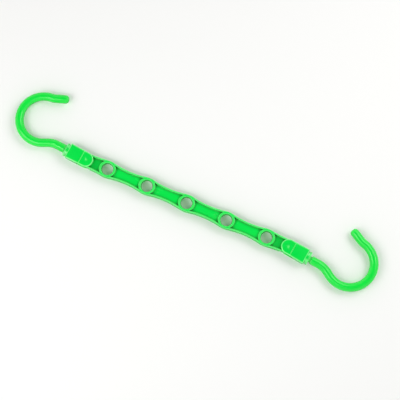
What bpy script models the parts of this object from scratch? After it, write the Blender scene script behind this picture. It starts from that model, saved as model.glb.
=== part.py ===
"""Five-hole clothes hanger: a ringed bar with a folding knuckle and a turning hook at each end.

The hanger lies flat. The bar runs along X, the holes and the fold pins point along Z, and both hooks open to +Y.
Each knuckle is drawn about its fold pin, with its shank axis along +X.
"""

import math

import bmesh
import bpy
from mathutils import Matrix, Vector

MM = 0.001

# Gaps between the pieces
PLAY = 0.3 * MM  # round and beside everything that turns
SEAM = 0.2 * MM  # between the two shells of a knuckle
OVERLAP = 0.5 * MM  # how far forms of one moulding run into each other before they are joined

# Bar
HOLE_COUNT = 5
HOLE_PITCH = 41.0 * MM
HOLE_DIAMETER = 10.8 * MM
RING_WALL = 2.6 * MM
WAIST_WIDTH = 12.0 * MM  # the bar half way between two holes
CROWN_RADIUS = 20.0 * MM  # the bar's side where it passes a hole
BAR_THICKNESS = 6.8 * MM
RIM_WALL = 1.5 * MM
WEB_THICKNESS = 2.2 * MM
CHANNEL_DRAFT = 0.25 * MM  # the rims and rings are thicker by this much at the web
BAR_EDGE = 0.55 * MM  # rounding of every rim and ring
EYE_DISTANCE = 22.3 * MM  # last hole to fold pin
EYE_WALL = 4.1 * MM  # bar material round the fold pin

# Knuckle
PIN_DIAMETER = 4.4 * MM
CHEEK_WALL = 1.5 * MM
CHEEK_LIP = 0.5 * MM  # how far the cheek covers more than the bar's eye
FOLD_CLEARANCE = 0.8 * MM  # bar's eye to the wall it would meet when folded past a right angle
KNUCKLE_LENGTH = 19.3 * MM  # fold pin to the outer face
KNUCKLE_END_WIDTH = 14.9 * MM
PAD_LENGTH = 4.7 * MM  # fold pin to the end of the raised round pad
PAD_STEP = 0.3 * MM
PAD_RAMP = 0.6 * MM
KNUCKLE_EDGE = 0.9 * MM
KNUCKLE_CORNER = 0.6 * MM
PEG_DIAMETER = 1.8 * MM
PEG_LENGTH = 2.2 * MM
COLLAR_WIDTH = 12.6 * MM
COLLAR_LENGTH = 3.2 * MM
COLLAR_LIP = 1.3 * MM
COLLAR_GROOVE = 0.4 * MM  # depth of the groove between the knuckle and the collar's lip
COLLAR_EDGE = 0.4 * MM

# Hook
POCKET_WALL = 0.9 * MM  # shell left over the hook's head
HEAD_LENGTH = 3.0 * MM
END_FLOAT = 1.5 * MM  # how far the hook slides in and out of its knuckle
HEAD_LIP = 1.2 * MM  # how far the head stands out from the neck
END_WALL = 2.0 * MM  # shell between the head and the outer face
NECK_SHOWING = 0.3 * MM  # neck between the collar and the shoulder when the hook is pushed in
ROD_DIAMETER = 8.2 * MM
SHOULDER_EDGE = 1.0 * MM
SHANK_LENGTH = 8.6 * MM
SHANK_BEND = math.radians(28.4)
SHANK_BEND_RADIUS = 20.0 * MM
LINK_LENGTH = 4.8 * MM  # straight between the shank's bend and the hook's arc
HOOK_RADIUS = 22.8 * MM
HOOK_SWEEP = math.radians(200.4)
TIP_BEND = math.radians(15.5)
TIP_BEND_RADIUS = 13.0 * MM
TIP_LENGTH = 13.4 * MM
TIP_EDGE = 2.8 * MM  # rounding of the blunt tip

# Pose in which the hanger lies
LEFT_FOLD = math.radians(4.6)  # clockwise from straight, seen from above
RIGHT_FOLD = math.radians(6.2)
LEFT_SLIDE = 0.0  # how far each hook is pulled out
RIGHT_SLIDE = END_FLOAT

# Facets
SIDE_STEPS = 5  # along the bar, from a hole to the waist beside it
ROUND_STEPS = 36  # round a ring, a hole or a knuckle's end, as a whole circle
SMALL_STEPS = 24  # round a pin, a neck or the rod
EDGE_STEPS = 2  # across a rounded edge
BEND_STEP = math.radians(9)
SMOOTH_ANGLE = math.radians(32)

# Sizes that follow
ring_radius = HOLE_DIAMETER / 2 + RING_WALL
eye_bore = PIN_DIAMETER / 2 + PLAY
eye_radius = eye_bore + EYE_WALL
last_hole = (HOLE_COUNT - 1) / 2 * HOLE_PITCH
pin_distance = last_hole + EYE_DISTANCE
slot_half = BAR_THICKNESS / 2 + PLAY
pad_half = slot_half + CHEEK_WALL
block_half = pad_half - PAD_STEP
slot_end = eye_radius + FOLD_CLEARANCE
knuckle_radius = eye_radius + CHEEK_LIP
head_radius = block_half - POCKET_WALL - PLAY
neck_radius = head_radius - HEAD_LIP
pocket_end = KNUCKLE_LENGTH - END_WALL
pocket_start = pocket_end - HEAD_LENGTH - END_FLOAT - 2 * PLAY
collar_end = KNUCKLE_LENGTH + COLLAR_LENGTH
shoulder = collar_end + NECK_SHOWING
neck_length = shoulder - (pocket_start + PLAY + HEAD_LENGTH)
peg_place = (slot_end + pocket_start) / 2


def arc(centre, radius, start, end, steps):
    """Points on an arc in the XY plane, both ends included."""
    angles = [start + (end - start) * i / steps for i in range(steps + 1)]
    return [(centre[0] + radius * math.cos(a), centre[1] + radius * math.sin(a)) for a in angles]


def edge_levels(half_height, edge):
    """Heights and insets of a rounded edge, from the bottom face to the top face."""
    rise = [math.pi / 2 * i / EDGE_STEPS for i in range(EDGE_STEPS + 1)]
    upper = [(half_height - edge + edge * math.sin(a), edge * (1 - math.cos(a))) for a in rise]
    return [(-height, inset) for height, inset in reversed(upper)] + upper


def loft(levels, outline):
    """A closed solid through outline(inset) at each (height, inset), from the lowest up."""
    shape = bmesh.new()
    rings = [[shape.verts.new((x, y, height)) for x, y in outline(inset)] for height, inset in levels]
    bridge(shape, rings)
    return finished(shape)


def turned(stations, steps):
    """A closed solid turned about X, from (position, radius) pairs of growing position."""
    return swept([(Vector((x, 0, 0)), 0.0, radius) for x, radius in stations], steps)


def swept(stations, steps):
    """A closed solid of round sections: centre, heading in the XY plane and radius."""
    shape = bmesh.new()
    rings = []
    for centre, heading, radius in stations:
        side = Vector((-math.sin(heading), math.cos(heading), 0))
        turns = [2 * math.pi * i / steps for i in range(steps)]
        rings.append([
            shape.verts.new(centre + radius * (math.cos(t) * side + math.sin(t) * Vector((0, 0, 1))))
            for t in turns
        ])
    bridge(shape, rings)
    return finished(shape)


def post(x, radius, bottom, top):
    """An upright round post."""
    return loft([(bottom, 0.0), (top, 0.0)], lambda inset: arc((x, 0), radius, 0, math.tau, SMALL_STEPS)[:-1])


def box(low, high):
    """A plain block between two corners."""
    corners = [(low[0], low[1]), (high[0], low[1]), (high[0], high[1]), (low[0], high[1])]
    return loft([(low[2], 0.0), (high[2], 0.0)], lambda inset: corners)


def bridge(shape, rings):
    """Joins rings of equal length with faces and closes both ends."""
    for lower, upper in zip(rings, rings[1:]):
        for i in range(len(lower)):
            j = (i + 1) % len(lower)
            shape.faces.new((lower[i], lower[j], upper[j], upper[i]))
    shape.faces.new(reversed(rings[0]))
    shape.faces.new(rings[-1])


def finished(shape):
    """Turns a bmesh into a mesh whose faces point out."""
    bmesh.ops.recalc_face_normals(shape, faces=shape.faces)
    mesh = bpy.data.meshes.new("form")
    shape.to_mesh(mesh)
    shape.free()
    return mesh


def together(meshes):
    """One mesh that holds several separate forms."""
    shape = bmesh.new()
    for mesh in meshes:
        shape.from_mesh(mesh)
    joined = bpy.data.meshes.new("forms")
    shape.to_mesh(joined)
    shape.free()
    return joined


def moved(mesh, matrix):
    """A moved, turned or mirrored copy of a mesh."""
    copy = mesh.copy()
    copy.transform(matrix)
    if matrix.determinant() < 0:
        copy.flip_normals()
    return copy


def combined(base, operation, tool):
    """The mesh that a Boolean makes of two meshes."""
    objects = [bpy.data.objects.new("work", mesh) for mesh in (base, tool)]
    for item in objects:
        bpy.context.collection.objects.link(item)
    modifier = objects[0].modifiers.new("boolean", "BOOLEAN")
    modifier.operation = operation
    modifier.object = objects[1]
    modifier.solver = "EXACT"
    graph = bpy.context.evaluated_depsgraph_get()
    result = bpy.data.meshes.new_from_object(objects[0].evaluated_get(graph))
    for item in objects:
        bpy.data.objects.remove(item)
    return result


def half_width(along, span, waist, inset):
    """The bar's half width at a distance from a hole, towards a waist that is a span away.

    The crown arc at the hole and the hollow arc at the waist meet smoothly, also when both are inset.
    """
    drop = ring_radius - waist
    radii = (span**2 + drop**2) / (2 * drop)
    hollow_radius = radii - CROWN_RADIUS
    if along < span * (CROWN_RADIUS - inset) / radii:
        return ring_radius - CROWN_RADIUS + math.sqrt((CROWN_RADIUS - inset) ** 2 - along**2)
    return waist + hollow_radius - math.sqrt((hollow_radius + inset) ** 2 - (span - along) ** 2)


def bar_side(inset):
    """The bar's upper side from the left pin to the right pin."""
    waves = [(-last_hole, -EYE_DISTANCE, eye_radius)]
    for i in range(HOLE_COUNT - 1):
        hole = -last_hole + i * HOLE_PITCH
        waves += [(hole, HOLE_PITCH / 2, WAIST_WIDTH / 2), (hole + HOLE_PITCH, -HOLE_PITCH / 2, WAIST_WIDTH / 2)]
    waves.append((last_hole, EYE_DISTANCE, eye_radius))
    points = {}
    for hole, reach, waist in waves:
        for i in range(SIDE_STEPS + 1):
            along = reach * i / SIDE_STEPS
            points[round((hole + along) / MM, 4)] = half_width(abs(along), abs(reach), waist, inset)
    return [(x * MM, points[x]) for x in sorted(points)]


def bar_outline(inset):
    """The whole outline of the bar, anticlockwise, with a round eye at each end."""
    side = bar_side(inset)
    steps = ROUND_STEPS // 2
    right = arc((pin_distance, 0), eye_radius - inset, -math.pi / 2, math.pi / 2, steps)[1:-1]
    left = arc((-pin_distance, 0), eye_radius - inset, math.pi / 2, math.pi * 3 / 2, steps)[1:-1]
    return [(x, -y) for x, y in side] + right + side[::-1] + left


def upright(x, stations):
    """A solid turned about an upright axis, from (height, radius) pairs."""
    shape = turned(stations, ROUND_STEPS)
    return moved(shape, Matrix.Translation((x, 0, 0)) @ Matrix.Rotation(-math.pi / 2, 4, "Y"))


def make_bar():
    """The ringed bar: a blank, less a channel on each face, the five holes and the two eyes' bores."""
    half = BAR_THICKNESS / 2
    floor = WEB_THICKNESS / 2
    mouth = half + OVERLAP
    flare = BAR_EDGE + OVERLAP  # the cutters' slanted edges run on past the bar's faces
    holes = [-last_hole + i * HOLE_PITCH for i in range(HOLE_COUNT)]

    def standing(x, radius):
        return upright(x, [
            (floor - OVERLAP, radius + CHANNEL_DRAFT), (floor, radius + CHANNEL_DRAFT),
            (half - BAR_EDGE, radius), (mouth, radius - flare), (mouth + OVERLAP, radius - flare),
        ])

    channel = loft([
        (floor, RIM_WALL + CHANNEL_DRAFT), (half - BAR_EDGE, RIM_WALL), (mouth, RIM_WALL - flare),
    ], bar_outline)
    rings = [standing(x, ring_radius) for x in holes]
    rings += [standing(x, eye_radius) for x in (-pin_distance, pin_distance)]
    channel = combined(channel, "DIFFERENCE", together(rings))
    channels = together([channel, moved(channel, Matrix.Scale(-1, 4, (0, 0, 1)))])

    def drilled(x, radius):
        return upright(x, [
            (-mouth, radius + flare), (-half + BAR_EDGE, radius),
            (half - BAR_EDGE, radius), (mouth, radius + flare),
        ])

    bores = [drilled(x, HOLE_DIAMETER / 2) for x in holes]
    bores += [drilled(x, eye_bore) for x in (-pin_distance, pin_distance)]
    blank = loft(edge_levels(half, BAR_EDGE), bar_outline)
    return combined(combined(blank, "DIFFERENCE", channels), "DIFFERENCE", together(bores))


def knuckle_outline(inset):
    """The knuckle from the front: round about the pin, then flaring to a square outer end."""
    flare = math.asin((KNUCKLE_END_WIDTH / 2 - knuckle_radius) / KNUCKLE_LENGTH)
    end = KNUCKLE_LENGTH - inset
    corner = KNUCKLE_CORNER
    half_end = KNUCKLE_END_WIDTH / 2 - inset
    round_end = arc((0, 0), knuckle_radius - inset, math.pi / 2 + flare, math.pi * 3 / 2 - flare, ROUND_STEPS // 2)
    lower = arc((end - corner, -half_end + corner), corner, -math.pi / 2, 0, EDGE_STEPS)
    upper = arc((end - corner, half_end - corner), corner, 0, math.pi / 2, EDGE_STEPS)
    return round_end + lower + upper


def step_down(mesh):
    """Lowers both faces of the knuckle beyond the round pad, over a short ramp."""
    shape = bmesh.new()
    shape.from_mesh(mesh)
    for place in (PAD_LENGTH, PAD_LENGTH + PAD_RAMP):
        everything = shape.verts[:] + shape.edges[:] + shape.faces[:]
        bmesh.ops.bisect_plane(shape, geom=everything, plane_co=(place, 0, 0), plane_no=(1, 0, 0))
    for vert in shape.verts:
        if vert.co.x > PAD_LENGTH + PAD_RAMP / 2:
            vert.co.z *= block_half / pad_half
    return finished(shape)


def make_half_knuckle():
    """One half of the knuckle, above the seam: a cheek, the block and half the collar, without the pin."""
    body = step_down(loft(edge_levels(pad_half, KNUCKLE_EDGE), knuckle_outline))
    lip = collar_end - COLLAR_LIP
    collar = turned([
        (KNUCKLE_LENGTH - OVERLAP, COLLAR_WIDTH / 2 - COLLAR_GROOVE),
        (lip, COLLAR_WIDTH / 2 - COLLAR_GROOVE), (lip + COLLAR_EDGE, COLLAR_WIDTH / 2),
        (collar_end - COLLAR_EDGE, COLLAR_WIDTH / 2), (collar_end, COLLAR_WIDTH / 2 - COLLAR_EDGE),
    ], ROUND_STEPS)
    collar = moved(collar, Matrix.Scale(2 * block_half / COLLAR_WIDTH, 4, (0, 0, 1)))
    body = combined(body, "UNION", collar)
    slot = box((-2 * knuckle_radius, -KNUCKLE_END_WIDTH, -slot_half), (slot_end, KNUCKLE_END_WIDTH, slot_half))
    swivel = turned([
        (pocket_start, head_radius + PLAY), (pocket_end, head_radius + PLAY),
        (pocket_end, neck_radius + PLAY), (collar_end + OVERLAP, neck_radius + PLAY),
    ], SMALL_STEPS)
    body = combined(combined(body, "DIFFERENCE", slot), "DIFFERENCE", swivel)
    reach = collar_end + OVERLAP
    upper = box((-reach, -reach, SEAM / 2), (reach, reach, 2 * pad_half))
    return combined(body, "INTERSECT", upper)


def make_front(half):
    """The front shell: its pin and its block take the back shell's pegs."""
    pin = post(0, PIN_DIAMETER / 2, SEAM / 2, slot_half + OVERLAP)
    depth = PEG_LENGTH + PLAY
    sockets = together([post(x, PEG_DIAMETER / 2 + PLAY, -OVERLAP, depth) for x in (0, peg_place)])
    return combined(combined(half, "UNION", pin), "DIFFERENCE", sockets)


def make_back(half):
    """The back shell: half of the pin, and the two pegs that hold the shells together."""
    mirrored = moved(half, Matrix.Scale(-1, 4, (0, 0, 1)))
    pin = post(0, PIN_DIAMETER / 2, -slot_half - OVERLAP, -SEAM / 2)
    pegs = together([post(x, PEG_DIAMETER / 2, -SEAM / 2 - OVERLAP, PEG_LENGTH) for x in (0, peg_place)])
    return combined(combined(mirrored, "UNION", pin), "UNION", pegs)


def hook_path():
    """Centre and heading of the rod at each section, from the shoulder to the tip."""
    place = Vector((0, 0, 0))
    heading = 0.0
    path = [(place.copy(), heading)]
    runs = [
        (SHANK_LENGTH, 0.0, 0.0), (0.0, -SHANK_BEND, SHANK_BEND_RADIUS), (LINK_LENGTH, 0.0, 0.0),
        (0.0, HOOK_SWEEP, HOOK_RADIUS), (0.0, -TIP_BEND, TIP_BEND_RADIUS),
        (TIP_LENGTH - TIP_EDGE, 0.0, 0.0),
    ]
    for length, turn, radius in runs:
        steps = max(1, math.ceil(abs(turn) / BEND_STEP))
        for _ in range(steps):
            chord = length or 2 * radius * math.sin(abs(turn) / steps / 2)
            middle = heading + turn / steps / 2
            place += chord * Vector((math.cos(middle), math.sin(middle), 0))
            heading += turn / steps
            path.append((place.copy(), heading))
    return path


def make_hook():
    """The hook, drawn from its shoulder: head, neck and a round rod with a blunt round tip."""
    rod = ROD_DIAMETER / 2
    stations = [
        (Vector((x, 0, 0)), 0.0, radius)
        for x, radius in (
            (-neck_length - HEAD_LENGTH, head_radius), (-neck_length, head_radius), (-neck_length, neck_radius),
            (0.0, neck_radius), (0.0, rod - SHOULDER_EDGE), (SHOULDER_EDGE, rod),
        )
    ]
    path = hook_path()
    stations += [(place, heading, rod) for place, heading in path[1:]]
    place, heading = path[-1]
    forward = Vector((math.cos(heading), math.sin(heading), 0))
    for i in range(1, EDGE_STEPS * 2 + 1):
        angle = math.pi / 2 * i / (EDGE_STEPS * 2)
        inset = TIP_EDGE * (1 - math.cos(angle))
        stations.append((place + TIP_EDGE * math.sin(angle) * forward, heading, rod - inset))
    return swept(stations, SMALL_STEPS)


def plastic(name, colour, roughness):
    """A coloured plastic."""
    material = bpy.data.materials.new(name)
    material.use_nodes = True
    shader = material.node_tree.nodes["Principled BSDF"]
    shader.inputs["Base Color"].default_value = (*colour, 1.0)
    shader.inputs["Roughness"].default_value = roughness
    shader.inputs["Metallic"].default_value = 0.0
    return material


def piece(name, mesh, material, parent, slide=0.0):
    """A named sub-part that hangs on the empty of the joint that moves it."""
    mesh = mesh.copy()
    mesh.name = name
    mesh.materials.clear()
    mesh.materials.append(material)
    mesh.shade_smooth()
    mesh.set_sharp_from_angle(angle=SMOOTH_ANGLE)
    item = bpy.data.objects.new(name, mesh)
    bpy.context.collection.objects.link(item)
    item.parent = parent
    item.location = (slide, 0, 0)
    return item


def axis(name, parent, place, turn=(0, 0, 0)):
    """An empty on a joint's axis."""
    item = bpy.data.objects.new(name, None)
    bpy.context.collection.objects.link(item)
    item.parent = parent
    item.location = place
    item.rotation_euler = turn
    return item


def stand_on_origin(root):
    """Moves the whole hanger so that the origin is the middle of its box, on the face it lies on."""
    bpy.context.view_layer.update()
    corners = [
        item.matrix_world @ vert.co
        for item in bpy.data.objects if item.type == "MESH" for vert in item.data.vertices
    ]
    low = [min(corner[i] for corner in corners) for i in range(3)]
    high = [max(corner[i] for corner in corners) for i in range(3)]
    root.location = (-(low[0] + high[0]) / 2, -(low[1] + high[1]) / 2, -low[2])


def main():
    for item in list(bpy.data.objects):
        bpy.data.objects.remove(item)
    bar_green = plastic("bar_green", (0.008, 0.74, 0.075), 0.35)
    knuckle_green = plastic("knuckle_green", (0.008, 0.74, 0.075), 0.35)
    hook_green = plastic("hook_green", (0.05, 0.78, 0.10), 0.25)
    half = make_half_knuckle()
    front = make_front(half)
    back = make_back(half)
    hook = make_hook()
    hanger = axis("hanger", None, (0, 0, 0))
    piece("five_hole_bar", make_bar(), bar_green, hanger)
    ends = (
        ("left", -pin_distance, math.pi - LEFT_FOLD, math.pi, LEFT_SLIDE),
        ("right", pin_distance, -RIGHT_FOLD, 0.0, RIGHT_SLIDE),
    )
    for side, x, fold, swivel, slide in ends:
        fold_axis = axis(f"{side}_fold_axis", hanger, (x, 0, 0), (0, 0, fold))
        piece(f"{side}_knuckle_front", front, knuckle_green, fold_axis)
        piece(f"{side}_knuckle_back", back, knuckle_green, fold_axis)
        swivel_axis = axis(f"{side}_swivel_axis", fold_axis, (shoulder, 0, 0), (swivel, 0, 0))
        piece(f"{side}_hook", hook, hook_green, swivel_axis, slide)
    stand_on_origin(hanger)


main()
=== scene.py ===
# %% [markdown]
# # A five-hole clothes hanger in moulded green plastic
#
# The hanger lies flat on a white table. A ringed bar runs along X, and a folding knuckle at each end
# carries a round hook that can turn. The solids from the CAD model already have every size, so this script
# gives each of them a finer mesh in the same place, a moulded finish, and the light and the camera of a
# product photograph.

# %% The frame, and the box of the CAD model
import math

import bmesh
import bpy
from mathutils import Matrix, Vector


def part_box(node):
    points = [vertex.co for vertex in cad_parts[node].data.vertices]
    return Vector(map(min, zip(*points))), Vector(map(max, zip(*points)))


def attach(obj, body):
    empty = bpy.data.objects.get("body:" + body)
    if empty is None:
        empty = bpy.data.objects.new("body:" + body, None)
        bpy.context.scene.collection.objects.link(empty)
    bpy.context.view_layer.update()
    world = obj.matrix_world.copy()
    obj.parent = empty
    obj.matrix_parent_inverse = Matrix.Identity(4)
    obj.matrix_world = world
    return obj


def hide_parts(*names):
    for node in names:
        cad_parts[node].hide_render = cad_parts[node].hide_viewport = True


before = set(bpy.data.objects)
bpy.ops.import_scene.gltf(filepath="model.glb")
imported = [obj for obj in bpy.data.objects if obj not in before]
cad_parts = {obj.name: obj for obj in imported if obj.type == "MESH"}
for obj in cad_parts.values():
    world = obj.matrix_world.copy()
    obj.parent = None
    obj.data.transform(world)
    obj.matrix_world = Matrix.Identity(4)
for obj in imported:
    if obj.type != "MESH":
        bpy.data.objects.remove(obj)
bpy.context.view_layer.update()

MM = 0.001
HAIR = 0.01 * MM  # too little to see, between two faces or points that must not fall together
low, high = (Vector(corner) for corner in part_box("five_hole_bar"))
bar_centre = (low + high) / 2

# %% [markdown]
# ## The camera
#
# The hanger was photographed from almost above and a little turned, so the bar slants down to the right. A
# camera is fixed by the point it looks at, two angles, a distance and a lens. They were found by asking
# where the five holes, the two fold pins and the two hook tips have to land in a 400 by 400 picture. A
# longer lens from further away gives nearly the same picture, so the distance is only a sensible one.

# %% Camera
AZIMUTH = math.radians(-23.48)
ELEVATION = math.radians(80.9)
CAMERA_DISTANCE = 0.9
LENS = 85.5
SENSOR_WIDTH = 36
AIM = Vector((8.32, -8.4, 5.2)) * MM

look = Vector((
    math.sin(AZIMUTH) * math.cos(ELEVATION),
    math.cos(AZIMUTH) * math.cos(ELEVATION),
    -math.sin(ELEVATION),
))
camera = bpy.data.objects.new("camera", bpy.data.cameras.new("camera"))
camera.data.lens = LENS
camera.data.sensor_width = SENSOR_WIDTH
camera.location = AIM - look * CAMERA_DISTANCE
camera.rotation_euler = look.to_track_quat("-Z", "Y").to_euler()
bpy.context.collection.objects.link(camera)
bpy.context.scene.camera = camera
print("camera at", tuple(camera.location))

# %% [markdown]
# ## Two helpers
#
# A node tree is a list of nodes and the links between them, for shapes and for materials alike. One
# function that adds a node, sets its options and fills or links its inputs is enough to write any tree as
# plain lines. Colours are written as they look on a screen and turned to the linear values that light adds
# up in.

# %% Helpers for node trees and colours
def add(tree, kind, inputs=None, **settings):
    """Adds a node. An input is a value, a node or socket to link, or a list of them for a wide socket."""
    node = tree.nodes.new(kind)
    for name, value in settings.items():
        setattr(node, name, value)
    for key, value in (inputs or {}).items():
        for item in value if isinstance(value, list) else [value]:
            if isinstance(item, bpy.types.Node):
                item = item.outputs[0]
            if isinstance(item, bpy.types.NodeSocket):
                tree.links.new(item, node.inputs[key])
            else:
                node.inputs[key].default_value = item
    return node


def linear(colour):
    """An sRGB colour such as #12D84A as linear red, green, blue and alpha."""
    channels = [int(colour[i:i + 2], 16) / 255 for i in (1, 3, 5)]
    return (*[c / 12.92 if c <= 0.04045 else ((c + 0.055) / 1.055) ** 2.4 for c in channels], 1.0)


print("white is", linear("#FFFFFF"))

# %% [markdown]
# ## The plastic
#
# Such hangers are injection moulded in coloured polypropylene, a waxy, slightly milky plastic with a soft
# gloss. Its refractive index is 1.49. Light goes a millimetre or two into it, which keeps its shadows
# green. Light and shade are also painted into its colour. Thin and rounded edges get a painted highlight,
# a paler green that stands in for light coming through them from the side and glinting on them. Tight
# corners, upright walls and the short channels beside the knuckles get painted shade, a darker green.
# Two Ambient Occlusion nodes find the thin and the tight places, one looking into the plastic and one out
# of it, and the surface's own direction tells a flat face, a rounded edge and an upright wall apart.
# Polypropylene also cools unevenly: the surface waves very slightly and the colour flows in faint cloudy
# bands. The eroded grain of the mould is really about 0.05 mm, too fine to show here, so it is drawn
# 0.4 mm coarse.

# %% Moulded polypropylene
# Paler green of the painted highlight on thin and rounded edges
EDGE_HIGHLIGHT_COLOUR = "#7AFF8E"
# Darker green of the painted shade in tight corners, on upright walls and in the bar's end channels
SHADE_COLOUR = "#008428"
CLOUD_SIZE = 9 * MM
SINK_SIZE = 6 * MM
GRAIN_SIZE = 0.4 * MM
TIGHT_REACH = 3.6 * MM
RAY_SAMPLES = 8
# Where the painted shade of the bar's end channels lies
END_CHANNEL_START = (88 * MM, 90.5 * MM)  # from the middle of the bar, fading in beside its end rings
CHANNEL_SIDE = (2.4 * MM, 1.6 * MM)  # from the middle of the thickness, fading in below the rims


def moulded_polypropylene(name, colour, deep_colour, gloss, satin, flow, reach, edge_highlight, end_shade=0.0):
    """
    Green polypropylene. Gloss and satin are its two roughnesses, and flow is how the melt ran, along X, Y, Z.
    Walls thinner than reach get a painted highlight, as if light came through them. edge_highlight is how
    strong the painted highlight on rounded edges is, and end_shade is how strong the painted shade in the
    bar's end channels is.
    """
    material = bpy.data.materials.new(name)
    material.use_nodes = True
    tree = material.node_tree
    tree.nodes.clear()
    coordinates = add(tree, "ShaderNodeTexCoord")
    place = coordinates.outputs["Object"]
    stretched = add(tree, "ShaderNodeMapping", {"Vector": place, "Scale": flow})
    cloud = add(tree, "ShaderNodeTexNoise", {"Vector": stretched, "Scale": 1 / CLOUD_SIZE, "Detail": 3.0})
    body = add(tree, "ShaderNodeMix", {
        "Factor": cloud.outputs[0], "A": linear(deep_colour), "B": linear(colour),
    }, data_type="RGBA")
    inward = add(tree, "ShaderNodeAmbientOcclusion", {
        "Distance": reach,
    }, samples=RAY_SAMPLES, inside=True, only_local=True)
    outward = add(tree, "ShaderNodeAmbientOcclusion", {
        "Distance": TIGHT_REACH,
    }, samples=RAY_SAMPLES, only_local=True)
    # Painted highlight: thin places and slightly tilted faces are made paler, upright walls are not
    thin = add(tree, "ShaderNodeMapRange", {"Value": inward.outputs["AO"], "From Min": 1.0, "From Max": 0.5})
    tight = add(tree, "ShaderNodeMapRange", {
        "Value": outward.outputs["AO"], "From Min": 0.88, "From Max": 0.42,
    })
    facing = add(tree, "ShaderNodeSeparateXYZ", {"Vector": coordinates.outputs["Normal"]})
    level = add(tree, "ShaderNodeMath", {0: facing.outputs["Z"]}, operation="ABSOLUTE")
    not_upright = add(tree, "ShaderNodeMapRange", {"Value": level, "From Min": 0.05, "From Max": 0.4})
    rounded = add(tree, "ShaderNodeMapRange", {
        "Value": level, "From Min": 0.99, "From Max": 0.92, "To Max": edge_highlight,
    })
    pale = add(tree, "ShaderNodeMath", {0: thin.outputs[0], 1: rounded.outputs[0]}, operation="MAXIMUM")
    paler = add(tree, "ShaderNodeMath", {0: pale, 1: not_upright.outputs[0]}, operation="MULTIPLY")
    highlighted = add(tree, "ShaderNodeMix", {
        "Factor": paler, "A": body.outputs[2], "B": linear(EDGE_HIGHLIGHT_COLOUR),
    }, data_type="RGBA")
    # Painted shade: tight corners and upright walls are made darker
    upright = add(tree, "ShaderNodeMapRange", {
        "Value": level, "From Min": 0.4, "From Max": 0.1, "To Max": 0.7,
    })
    painted_shade = add(tree, "ShaderNodeMath", {0: tight.outputs[0], 1: upright.outputs[0]}, operation="MAXIMUM")
    # Painted shade in the bar's short end channels beside the knuckles
    if end_shade:
        middle = add(tree, "ShaderNodeVectorMath", {0: place, 1: bar_centre}, operation="SUBTRACT")
        from_middle = add(tree, "ShaderNodeVectorMath", {0: middle}, operation="ABSOLUTE")
        way = add(tree, "ShaderNodeSeparateXYZ", {"Vector": from_middle})
        outer = add(tree, "ShaderNodeMapRange", {
            "Value": way.outputs["X"], "From Min": END_CHANNEL_START[0], "From Max": END_CHANNEL_START[1],
            "To Max": end_shade,
        })
        sunken = add(tree, "ShaderNodeMapRange", {
            "Value": way.outputs["Z"], "From Min": CHANNEL_SIDE[0], "From Max": CHANNEL_SIDE[1],
        })
        solid = add(tree, "ShaderNodeMath", {0: outer.outputs[0], 1: sunken.outputs[0]}, operation="MULTIPLY")
        painted_shade = add(tree, "ShaderNodeMath", {0: painted_shade, 1: solid}, operation="MAXIMUM")
    tint = add(tree, "ShaderNodeMix", {
        "Factor": painted_shade, "A": highlighted.outputs[2], "B": linear(SHADE_COLOUR),
    }, data_type="RGBA")
    grain = add(tree, "ShaderNodeTexNoise", {"Vector": place, "Scale": 1 / GRAIN_SIZE, "Detail": 2.0})
    sink = add(tree, "ShaderNodeTexNoise", {"Vector": place, "Scale": 1 / SINK_SIZE, "Detail": 1.0})
    rough = add(tree, "ShaderNodeMapRange", {
        "Value": cloud.outputs[0], "From Min": 0.3, "From Max": 0.7, "To Min": gloss, "To Max": satin,
    })
    waves = add(tree, "ShaderNodeBump", {"Height": sink.outputs[0], "Strength": 0.25, "Distance": 0.05 * MM})
    skin = add(tree, "ShaderNodeBump", {
        "Height": grain.outputs[0], "Strength": 0.25, "Distance": 0.01 * MM, "Normal": waves,
    })
    shader = add(tree, "ShaderNodeBsdfPrincipled", {
        "Base Color": tint.outputs[2], "Roughness": rough, "IOR": 1.49, "Normal": skin,
        "Subsurface Weight": 0.10, "Subsurface Radius": (0.3, 1.0, 0.4), "Subsurface Scale": 1.5 * MM,
    })
    add(tree, "ShaderNodeOutputMaterial", {"Surface": shader})
    return material


# Every piece gets a painted edge highlight of its own strength, and the bar painted shade in its end channels
bar_polypropylene = moulded_polypropylene(
    "bar_polypropylene", "#00F054", "#00E84C",
    gloss=0.22, satin=0.30, flow=(0.3, 1, 1), reach=1.2 * MM, edge_highlight=0.35, end_shade=0.4)
knuckle_polypropylene = moulded_polypropylene(
    "knuckle_polypropylene", "#00E84E", "#00E046",
    gloss=0.20, satin=0.26, flow=(1, 1, 1), reach=0.85 * MM, edge_highlight=1.0)
hook_polypropylene = moulded_polypropylene(
    "hook_polypropylene", "#10EE46", "#0AE440",
    gloss=0.14, satin=0.18, flow=(1, 1, 1), reach=1.2 * MM, edge_highlight=0.0)
print("materials", [m.name for m in (bar_polypropylene, knuckle_polypropylene, hook_polypropylene)])

# %% [markdown]
# ## The bar's drawing
#
# The bar is one moulding: a thin web in the middle of its thickness, a rim on each side that swells round
# every hole and draws in between, and a ring round each hole. All of it follows a rule, so Geometry Nodes
# draw it. The first tree is the rule itself: a convex arc over each hole runs smoothly into a hollow arc at
# the waist beside it. Each row below is one Math node, and a word in it is the name of an input or of an
# earlier row.

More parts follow.
